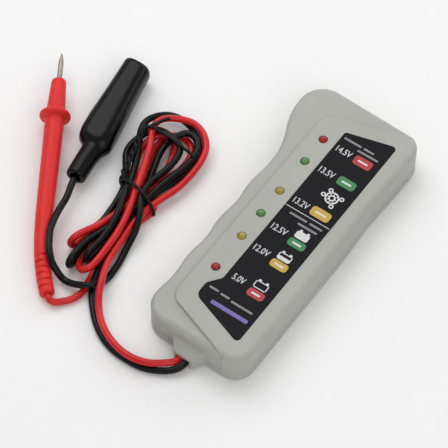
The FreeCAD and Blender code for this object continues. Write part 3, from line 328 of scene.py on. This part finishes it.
BLACK_HANK = [
    (-44.6, -47.6, 4.0), (-47.0, -42.1, 3.9), (-48.0, -35.0, 3.3), (-47.9, -27.5, 2.6), (-48.0, -20.8, 2.1),
    (-48.4, -15.6, 2.7), (-46.9, -9.1, 3.6), (-44.1, -1.8, 3.6), (-43.2, 5.5, 3.0), (-43.6, 12.5, 2.7),
    (-47.0, 18.4, 2.6), (-52.2, 21.6, 2.7), (-57.6, 23.2, 2.9), (-63.0, 22.4, 3.4), (-67.0, 18.8, 4.1),
    (-69.0, 13.3, 5.0), (-67.2, 7.7, 5.3), (-63.8, 2.5, 5.1), (-61.0, -3.0, 5.2), (-58.4, -8.5, 5.5),
    (-56.4, -13.6, 6.1), (-54.2, -19.9, 6.8), (-51.7, -26.4, 7.3), (-50.1, -32.9, 7.3), (-49.6, -39.5, 7.2),
    (-50.0, -44.0, 7.1), (-50.2, -46.2, 7.1), (-50.3, -47.8, 5.4), (-50.3, -47.8, 3.2), (-50.2, -46.2, 1.5),
    (-50.1, -44.0, 1.5), (-50.0, -39.5, 1.5), (-49.9, -34.0, 1.5), (-50.2, -27.0, 1.5), (-50.5, -20.5, 1.6),
    (-50.9, -14.8, 1.8), (-52.0, -8.4, 2.4), (-53.8, -2.5, 3.2), (-56.0, 4.0, 3.9), (-56.7, 9.5, 4.5),
    (-55.0, 15.3, 5.2), (-52.0, 18.4, 5.5), (-47.4, 17.2, 5.6), (-44.4, 12.6, 5.7), (-43.9, 5.5, 5.8),
    (-45.4, -2.0, 6.2), (-46.7, -8.7, 6.0), (-47.3, -15.5, 5.1), (-49.5, -22.0, 4.5), (-51.0, -28.8, 4.7),
    (-52.4, -35.3, 5.2), (-54.0, -42.0, 6.0), (-54.1, -48.0, 6.8), (-54.0, -51.2, 6.8), (-54.0, -53.0, 5.2),
    (-54.1, -53.0, 3.0), (-54.4, -51.2, 1.4), (-54.8, -48.2, 1.4), (-55.3, -42.2, 2.3), (-55.6, -35.0, 3.1),
    (-55.6, -28.1, 3.8), (-56.5, -20.5, 3.8), (-58.4, -13.4, 3.2), (-61.4, -8.8, 2.6), (-64.6, -4.6, 2.2),
    (-67.8, -0.4, 2.0), (-68.4, 4.6, 1.9), (-66.8, 9.5, 2.9), (-63.8, 12.7, 4.8), (-59.1, 12.6, 6.8),
    (-53.6, 11.7, 7.3), (-49.6, 10.0, 6.8), (-48.4, 4.5, 6.5), (-48.9, -2.0, 6.5), (-50.3, -8.5, 6.7),
    (-49.5, -15.7, 7.3), (-45.3, -21.6, 6.8), (-42.7, -27.6, 4.6),
]
BLACK_FAR = [
    (-75.2, -19.4, 5.5), (-74.2, -24.5, 5.5), (-71.8, -30.4, 5.5), (-70.9, -35.0, 5.7), (-70.1, -38.7, 6.2),
    (-68.6, -43.2, 6.9), (-66.9, -47.2, 7.6), (-64.6, -50.5, 7.7), (-62.9, -53.0, 7.5), (-60.4, -55.5, 7.0),
    (-58.4, -57.1, 6.1), (-56.3, -57.7, 4.5), (-54.0, -58.3, 3.0), (-51.3, -58.6, 2.2), (-47.0, -58.3, 3.6),
    (-42.8, -57.0, 5.3), (-40.3, -53.9, 4.6), (-39.8, -49.6, 1.7), (-40.2, -44.7, 1.4), (-40.9, -39.4, 1.4),
    (-42.1, -34.4, 2.0),
]

LEAD_SMOOTHNESS = 8
red_lead = add_curve("red_lead", [metres(RED_NEAR + RED_HANK + RED_FAR[::-1])], LEAD_D / 2 * MM,
                     LEAD_RED, LEAD_SMOOTHNESS)
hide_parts("red_lead_near", "red_lead_far", "lead_hank")
black_lead = add_curve("black_lead", [metres(BLACK_NEAR + BLACK_HANK + BLACK_FAR[::-1])], LEAD_D / 2 * MM,
                       LEAD_BLACK, LEAD_SMOOTHNESS)
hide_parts("black_lead_near", "black_lead_far", "lead_hank")

# ---------------------------------------------------------------- twist tie
TIE_RING = [
    (-60.9, -12.5, 0.9), (-61.6, -12.4, 2.4), (-60.6, -12.6, 5.0), (-58.2, -13.1, 7.6), (-55.0, -13.8, 8.9),
    (-51.5, -14.7, 9.4), (-48.2, -15.5, 9.2), (-45.4, -16.2, 7.6), (-43.2, -16.9, 5.4), (-42.2, -17.3, 3.2),
    (-42.9, -17.1, 1.2), (-47.0, -16.0, 0.8), (-54.0, -14.2, 0.8), (-60.9, -12.5, 0.9),
]
TIE_KNOT = [
    (-59.4, -13.6, 7.0), (-60.6, -11.4, 7.6), (-61.3, -7.6, 7.6), (-62.8, -3.0, 7.7), (-64.1, 1.6, 7.6),
    (-65.3, 5.2, 7.8), (-66.0, 8.0, 8.2),
]
TIE_TAIL_A = [
    (-66.0, 8.0, 8.2), (-65.6, 9.8, 8.8), (-63.0, 10.6, 9.2), (-58.6, 10.4, 9.3), (-53.0, 10.2, 9.2),
    (-48.0, 9.6, 8.6), (-44.4, 9.6, 7.8),
]
TIE_TAIL_B = [
    (-66.0, 8.0, 8.2), (-65.0, 10.0, 8.3), (-63.2, 12.4, 9.0), (-61.8, 15.2, 9.2), (-60.6, 17.6, 8.6),
]


def wound(points, offset, turns, phase, samples=90):
    """A strand that winds round the smooth line through the points."""
    probe = bpy.data.curves.new("line", "CURVE")
    probe.dimensions = "3D"
    spline = probe.splines.new("NURBS")
    spline.points.add(len(points) - 1)
    for slot, point in zip(spline.points, metres(points)):
        slot.co = (*point, 1.0)
    spline.order_u = 3
    spline.use_endpoint_u = True
    probe.resolution_u = 16
    holder = bpy.data.objects.new("line", probe)
    line = [v.co.copy() for v in bpy.data.meshes.new_from_object(holder).vertices]
    bpy.data.objects.remove(holder)
    out = []
    for i in range(samples + 1):
        at = i / samples * (len(line) - 1)
        j = min(int(at), len(line) - 2)
        here = line[j].lerp(line[j + 1], at - j)
        ahead = (line[j + 1] - line[j]).normalized()
        side = ahead.cross(Vector((0, 0, 1))).normalized()
        up = side.cross(ahead)
        angle = phase + turns * math.tau * i / samples
        out.append(here + (side * math.cos(angle) + up * math.sin(angle)) * offset * MM)
    return out


TIE_WIRE_RADIUS = 0.62
KNOT_RADIUS = 0.6
KNOT_TURNS = 3.4
tie = add_curve("twist_tie_wire", [
    metres(TIE_RING), wound(TIE_KNOT, KNOT_RADIUS, KNOT_TURNS, 0.0),
    wound(TIE_KNOT, KNOT_RADIUS, KNOT_TURNS, math.pi),
    metres(TIE_TAIL_A), metres(TIE_TAIL_B)], TIE_WIRE_RADIUS * MM, TIE)
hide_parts("twist_tie")


# ---------------------------------------------------------------- probe handle
PROBE_TIP = Vector((-112.45, 19.4, 7.2))
BEND_START = Vector((-77.33, -36.43, 4.63))
RELIEF_END = Vector((-53.0, -67.1, 2.9))
PROBE_HEADING = (BEND_START - PROBE_TIP).normalized()
RELIEF_HEADING = Vector((0.754, -0.656, -0.02)).normalized()
STRAIGHT = (BEND_START - PROBE_TIP).length
BEND_PULL = 0.36
BEND_REACH = (RELIEF_END - BEND_START).length * BEND_PULL
BEND_NEAR = BEND_START + PROBE_HEADING * BEND_REACH
BEND_FAR = RELIEF_END - RELIEF_HEADING * BEND_REACH
RIBBED_FROM = 0.61
RIBS = 6
PROBE_FACETS = 48
SMOOTH_RINGS = 24
RIBBED_RINGS = 150
NOSE = 12.7
GUARD = NOSE + 14.5
GRIP = GUARD + 3.2
HANDLE_FORM = [  # distance from the needle's point, radius
    (NOSE, 1.02), (NOSE, 2.1), (NOSE + 0.12, 2.42), (NOSE + 0.4, 2.68), (NOSE + 0.9, 2.8), (NOSE + 1.6, 2.86),
    (GUARD - 3.0, 3.42), (GUARD - 0.6, 3.6), (GUARD - 0.1, 3.85), (GUARD + 0.15, 4.4), (GUARD + 0.4, 5.0),
    (GUARD + 0.75, 5.5), (GUARD + 1.2, 5.82), (GUARD + 1.7, 5.9), (GUARD + 2.2, 5.78), (GUARD + 2.6, 5.45),
    (GUARD + 2.9, 4.9), (GUARD + 3.1, 4.3), (GRIP + 0.2, 3.9), (GRIP + 0.8, 3.68), (GRIP + 3.0, 3.64),
]
GRIP_RADIUS = 3.64
BEND_RADIUS = 3.3
END_RADIUS = 2.8


def bend_centre(t):
    return (BEND_START * (1 - t) ** 3 + BEND_NEAR * (3 * t * (1 - t) ** 2)
            + BEND_FAR * (3 * t * t * (1 - t)) + RELIEF_END * t ** 3)


def rib_cut(t, angle):
    """How deep the sleeve is cut in: slots that are deep on one side only, on alternate sides."""
    place = (t - RIBBED_FROM) / (1 - RIBBED_FROM) * RIBS
    if place < -0.3:
        return 0.0
    nearest = round(place)
    if nearest >= RIBS:
        return 0.0
    side = 1 if nearest % 2 else -1
    depth = 0.30 + 0.75 * max(0.0, math.sin(angle) * 0.3 + side * math.cos(angle)) ** 0.7
    return depth * max(0.0, 1 - abs(place - nearest) / 0.16) ** 1.4


def probe_rings():
    """Centre, direction and a radius for every angle, from the nose to the end of the sleeve."""
    rings = []
    for along, radius in HANDLE_FORM:
        rings.append((PROBE_TIP + PROBE_HEADING * along, PROBE_HEADING, [radius] * PROBE_FACETS))
    first = HANDLE_FORM[-1][0]
    for i in range(1, 13):
        k = i / 12
        along = first + (STRAIGHT - first) * k
        radius = GRIP_RADIUS + (BEND_RADIUS - GRIP_RADIUS) * k
        rings.append((PROBE_TIP + PROBE_HEADING * along, PROBE_HEADING, [radius] * PROBE_FACETS))
    fine_from = RIBBED_FROM * 0.93
    smooth = [fine_from * i / SMOOTH_RINGS for i in range(1, SMOOTH_RINGS + 1)]
    ribbed = [fine_from + (1 - fine_from) * i / RIBBED_RINGS for i in range(1, RIBBED_RINGS + 1)]
    for t in smooth + ribbed:
        ahead = (bend_centre(t + 0.01) - bend_centre(t - 0.01)).normalized()
        base = BEND_RADIUS + (END_RADIUS - BEND_RADIUS) * t
        close = min(1.0, (1 - t) / 0.018)
        rounding = 0.84 + 0.16 * math.sqrt(1 - (1 - close) ** 2)
        radii = [(base - rib_cut(t, math.tau * k / PROBE_FACETS)) * rounding for k in range(PROBE_FACETS)]
        rings.append((bend_centre(t), ahead, radii))
    return rings


def probe_mesh():
    verts, faces = [], []
    rings = probe_rings()
    for centre, ahead, radii in rings:
        side = ahead.cross(Vector((0, 0, 1))).normalized()
        up = side.cross(ahead)
        for k, radius in enumerate(radii):
            angle = math.tau * k / PROBE_FACETS
            verts.append((centre + (side * math.cos(angle) + up * math.sin(angle)) * radius) * MM)
    for i in range(len(rings) - 1):
        for k in range(PROBE_FACETS):
            a = i * PROBE_FACETS + k
            b = i * PROBE_FACETS + (k + 1) % PROBE_FACETS
            faces.append((a, b, b + PROBE_FACETS, a + PROBE_FACETS))
    last = (len(rings) - 1) * PROBE_FACETS
    faces.append(tuple(range(PROBE_FACETS))[::-1])
    faces.append(tuple(last + k for k in range(PROBE_FACETS)))
    return verts, faces


handle = add_mesh("probe_body", *probe_mesh(), PROBE)
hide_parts("probe_handle", "probe_strain_relief")

# ---------------------------------------------------------------- clip boot
CLIP_NECK = Vector((-74.6, -22.3, 5.55))
CLIP_MOUTH = Vector((-85.65, 31.6, 5.55))
CLIP_ALONG = (CLIP_MOUTH - CLIP_NECK).normalized()
CLIP_UP = Vector((0, 0, 1))
CLIP_SIDE = CLIP_UP.cross(CLIP_ALONG)
BOOT_FORM = [  # distance from the neck's end, width, height, squareness, offset to the right
    (0.0, 6.7, 6.7, 2.0, 0.1), (0.25, 7.3, 7.3, 2.0, 0.1), (0.7, 7.7, 7.7, 2.0, 0.1),
    (4.0, 7.9, 7.9, 2.0, 0.15), (9.0, 8.1, 8.1, 2.0, 0.35), (11.5, 8.4, 8.2, 2.0, 0.6),
    (13.2, 9.0, 8.4, 2.0, 0.9), (14.4, 10.3, 8.7, 2.0, 1.0),
    (15.2, 11.7, 9.6, 2.1, 0.75), (16.0, 12.8, 10.6, 2.2, 0.4), (17.2, 13.4, 11.2, 2.5, 0.1),
    (19.0, 13.6, 11.0, 2.9, -0.1), (20.5, 13.7, 11.0, 3.0, -0.2), (23.0, 13.65, 10.95, 3.0, -0.25),
    (27.0, 13.5, 10.9, 3.0, -0.25), (32.0, 13.0, 10.6, 3.0, -0.2), (40.0, 12.2, 10.2, 2.9, -0.15),
    (47.0, 11.6, 9.9, 2.8, -0.1), (51.5, 11.4, 9.7, 2.7, 0.0), (53.8, 11.3, 9.6, 2.7, 0.0),
    (54.7, 10.8, 9.1, 2.6, 0.0), (55.0, 10.2, 8.5, 2.6, 0.0),
]
MOUTH_SLANT = 0.16
SLANT_FROM = 36.0
SLANT_RUN = 19.0
BOOT_WALL = 1.1
BOOT_RING = 64
BOOT_SPLIT = 20.0
STATION_STEP = 0.8


def boot_section(at, inset):
    """Points round the boot at one distance, from the split on one side over the top and back."""
    for (u0, *low), (u1, *high) in zip(BOOT_FORM, BOOT_FORM[1:]):
        if at <= u1:
            break
    k = (at - u0) / (u1 - u0)
    wide, tall, square, offset = (a + (b - a) * k for a, b in zip(low, high))
    wide -= 2 * inset
    tall -= 2 * inset
    slant = MOUTH_SLANT * max(0.0, (at - SLANT_FROM) / SLANT_RUN) ** 1.5
    points = []
    for i in range(BOOT_RING):
        angle = math.tau * i / BOOT_RING
        c, s = math.cos(angle), math.sin(angle)
        x = math.copysign(abs(c) ** (2 / square), c) * wide / 2
        z = math.copysign(abs(s) ** (2 / square), s) * tall / 2
        along = at + slant * x
        points.append((CLIP_NECK + CLIP_ALONG * along + CLIP_SIDE * (x - offset) + CLIP_UP * z) * MM)
    return points


def boot_stations():
    stations = [0.0]
    for (u0, *_), (u1, *_) in zip(BOOT_FORM, BOOT_FORM[1:]):
        count = max(1, round((u1 - u0) / STATION_STEP))
        stations += [u0 + (u1 - u0) * (i + 1) / count for i in range(count)]
    return stations


def grid_normals(rows):
    normals = []
    for i, row in enumerate(rows):
        before = rows[max(0, i - 1)]
        after = rows[min(len(rows) - 1, i + 1)]
        for k, _ in enumerate(row):
            along = after[k] - before[k]
            around = row[(k + 1) % BOOT_RING] - row[k - 1]
            normals.append(around.cross(along).normalized())
    return normals


def boot_part(name, keep, body):
    """The faces of the boot's wall whose (station, segment) passes keep, with their own rims."""
    stations = boot_stations()
    outer = [boot_section(u, 0.0) for u in stations]
    inner = [boot_section(u, BOOT_WALL) for u in stations]
    normal_out = grid_normals(outer)
    verts, normals, index, faces = [], [], {}, []

    def vert(kind, i, k):
        k %= BOOT_RING
        key = (kind, i, k)
        if key not in index:
            index[key] = len(verts)
            verts.append((outer if kind[0] == "o" else inner)[i][k])
            normal = normal_out[i * BOOT_RING + k]
            normals.append(normal if kind == "o" else (-normal if kind == "i" else Vector((0, 0, 0))))
        return index[key]

    kept = {(i, k) for i in range(len(stations) - 1) for k in range(BOOT_RING)
            if keep((stations[i] + stations[i + 1]) / 2, k)}
    for i, k in kept:
        faces.append((vert("o", i, k), vert("o", i, k + 1), vert("o", i + 1, k + 1), vert("o", i + 1, k)))
        faces.append((vert("i", i, k), vert("i", i + 1, k), vert("i", i + 1, k + 1), vert("i", i, k + 1)))
        for ni, nk, a, b in ((i - 1, k, (i, k), (i, k + 1)), (i + 1, k, (i + 1, k + 1), (i + 1, k)),
                             (i, k - 1, (i + 1, k), (i, k)), (i, k + 1, (i, k + 1), (i + 1, k + 1))):
            if (ni, nk % BOOT_RING) not in kept:
                faces.append((vert("or", *b), vert("or", *a), vert("ir", *a), vert("ir", *b)))
    thing = add_mesh(name, verts, faces, BOOT, body)
    thing.data.normals_split_custom_set_from_vertices(normals)
    return thing


HALF_RING = BOOT_RING // 2
boot_main = boot_part("boot_main", lambda u, k: u < BOOT_SPLIT or k >= HALF_RING, REST)
boot_upper = boot_part("boot_upper", lambda u, k: u > BOOT_SPLIT and k < HALF_RING, None)
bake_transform(boot_upper)
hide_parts("clip_boot")
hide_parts("clip_boot_lip")


# ---------------------------------------------------------------- face artwork
LABEL_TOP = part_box("face_label")[1].z / MM
INK = 0.03
INK_SUNK = 0.01
NUMBER_HEIGHT = 2.8
PILL_CORNER = 1.2
BAR_CORNER = 0.35


def flat_shapes(name, loops, material, slot="label_film", low=0.0):
    """Thin raised ink: closed (x, y) loops in millimetres on the label."""
    verts, faces = [], []
    for loop in loops:
        first = len(verts)
        n = len(loop)
        for z in (LABEL_TOP + low - INK_SUNK, LABEL_TOP + low + INK):
            verts += [(x * MM, y * MM, z * MM) for x, y in loop]
        faces.append(tuple(first + i for i in reversed(range(n))))
        faces.append(tuple(first + n + i for i in range(n)))
        for i in range(n):
            j = (i + 1) % n
            faces.append((first + i, first + j, first + n + j, first + n + i))
    return add_mesh(name, verts, faces, material, slot=slot, smooth=False)


def rounded(x0, x1, y0, y1, radius, steps=6):
    points = []
    for cx, cy, start in ((x1 - radius, y1 - radius, 0), (x0 + radius, y1 - radius, 90),
                          (x0 + radius, y0 + radius, 180), (x1 - radius, y0 + radius, 270)):
        for i in range(steps + 1):
            a = math.radians(start + 90 * i / steps)
            points.append((cx + radius * math.cos(a), cy + radius * math.sin(a)))
    return points


def ring(cx, cy, outer, inner, steps=48):
    """An annulus as a row of small quads."""
    loops = []
    for i in range(steps):
        a, b = math.tau * i / steps, math.tau * (i + 1) / steps
        loops.append([(cx + r * math.cos(t), cy + r * math.sin(t))
                      for r, t in ((inner, a), (outer, a), (outer, b), (inner, b))])
    return loops


def frame_loops(x0, x1, y0, y1, line):
    return [rounded(x0, x1, y1 - line, y1, 0.05, 2), rounded(x0, x1, y0, y0 + line, 0.05, 2),
            rounded(x0, x0 + line, y0, y1, 0.05, 2), rounded(x1 - line, x1, y0, y1, 0.05, 2)]


def number(text, x0, y0, height, width):
    """Numerals as a flat mesh, scaled to one width and height."""
    data = bpy.data.curves.new("numeral", "FONT")
    data.body = text
    data.resolution_u = 4
    data.offset = 0.012
    holder = bpy.data.objects.new("numeral", data)
    mesh = bpy.data.meshes.new_from_object(holder)
    bpy.data.objects.remove(holder)
    xs = [v.co.x for v in mesh.vertices]
    ys = [v.co.y for v in mesh.vertices]
    sx = width / (max(xs) - min(xs))
    sy = height / (max(ys) - min(ys))
    for v in mesh.vertices:
        v.co = ((x0 + (v.co.x - min(xs)) * sx) * MM, (y0 + (v.co.y - min(ys)) * sy) * MM,
                (LABEL_TOP - INK_SUNK) * MM)
    bm = bmesh.new()
    bm.from_mesh(mesh)
    bmesh.ops.remove_doubles(bm, verts=bm.verts, dist=1e-7)
    made = bmesh.ops.extrude_face_region(bm, geom=bm.faces[:])
    for v in (g for g in made["geom"] if isinstance(g, bmesh.types.BMVert)):
        v.co.z += (INK + INK_SUNK) * MM
    bmesh.ops.recalc_face_normals(bm, faces=bm.faces)
    bm.to_mesh(mesh)
    bm.free()
    return mesh


def join_meshes(name, meshes, material):
    bm = bmesh.new()
    for mesh in meshes:
        bm.from_mesh(mesh)
    out = bpy.data.meshes.new(name)
    bm.to_mesh(out)
    bm.free()
    out.materials.clear()
    out.materials.append(material)
    thing = bpy.data.objects.new(name, out)
    scene.collection.objects.link(thing)
    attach(thing, REST)
    return thing


NUMBERS = [  # text, left, bottom, width
    ("14.5V", -0.1, 37.3, 6.4), ("13.5V", -0.1, 26.1, 6.4), ("13.2V", -0.1, 9.6, 6.4),
    ("12.5V", -0.1, -4.2, 6.4), ("12.0V", -0.1, -15.2, 6.4), ("5.0V", 0.9, -29.7, 5.0),
]
join_meshes("label_numbers", [number(t, x, y, NUMBER_HEIGHT, w) for t, x, y, w in NUMBERS], INK_WHITE)
PILLS = [
    (7.65, 15.15, 36.4, 40.4, INK_RED), (7.9, 15.3, 25.4, 29.4, INK_GREEN),
    (7.45, 15.45, 8.9, 13.1, INK_YELLOW), (8.2, 15.2, -6.3, -2.9, INK_GREEN),
    (8.15, 15.15, -17.3, -13.8, INK_YELLOW), (8.45, 15.25, -31.9, -28.5, INK_RED),
]
for i, (x0, x1, y0, y1, ink) in enumerate(PILLS):
    flat_shapes("label_pill_%d" % (i + 1), [rounded(x0, x1, y0, y1, PILL_CORNER)], ink)
bars = [rounded(x0 + 1.6, x1 - 1.6, (y0 + y1) / 2 - 0.38, (y0 + y1) / 2 + 0.38, BAR_CORNER, 4)
        for x0, x1, y0, y1, _ in PILLS]
flat_shapes("label_pill_bars", bars, INK_WHITE, low=INK)
BARS = [
    (-0.35, 7.2, 43.3, 44.6), (8.2, 12.6, 43.3, 44.6), (6.65, 15.65, 41.5, 42.5), (1.95, 9.4, 4.6, 6.1),
    (10.4, 15.95, 4.6, 6.1), (6.9, 15.2, 2.6, 3.6), (-3.35, 0.6, -37.6, -35.8), (1.6, 5.4, -37.9, -36.1),
    (6.4, 15.65, -38.4, -36.6),
]
word_bars = [rounded(x0, x1, (y0 + y1) / 2 - 0.42, (y0 + y1) / 2 + 0.42, BAR_CORNER, 3)
             for x0, x1, y0, y1 in BARS]
flat_shapes("label_bars", word_bars, INK_GREY)
flat_shapes("label_band", [rounded(0.65, 16.15, -42.2, -40.6, 0.5, 4)], INK_PURPLE)
icons = [rounded(-1.2, 17.6, 7.35, 7.6, 0.08, 2)]
WHEEL_X = 10.85
WHEEL_Y = 19.1
icons += ring(WHEEL_X, WHEEL_Y, 2.7, 2.1) + ring(WHEEL_X, WHEEL_Y, 1.4, 0.8)
for ex, ey in ((7.35, 18.9), (14.15, 20.6), (12.65, 15.9), (8.7, 21.8)):
    icons += ring(ex, ey, 0.95, 0.45, 20)
for k in range(8):
    a = math.tau * k / 8
    icons.append([(WHEEL_X + r * math.cos(a + d), WHEEL_Y + r * math.sin(a + d))
                  for r, d in ((1.4, -0.1), (2.1, -0.07), (2.1, 0.07), (1.4, 0.1))])
for y0, level in ((-2.3, 1.0), (-13.3, 0.5), (-27.9, 0.0)):
    x0, x1, y1 = 8.75, 14.15, y0 + 3.2
    icons += frame_loops(x0, x1, y0, y1, 0.4)
    icons += [rounded(x0 + 0.7, x0 + 1.7, y1, y1 + 0.7, 0.1, 2),
              rounded(x1 - 1.7, x1 - 0.7, y1, y1 + 0.7, 0.1, 2)]
    if level:
        icons.append(rounded(x0 + 0.4, x1 - 0.4, y0 + 0.4, y0 + 0.4 + (y1 - y0 - 0.8) * level, 0.05, 2))
flat_shapes("label_icons", icons, INK_WHITE)

# ---------------------------------------------------------------- view layer update
bpy.context.view_layer.update()
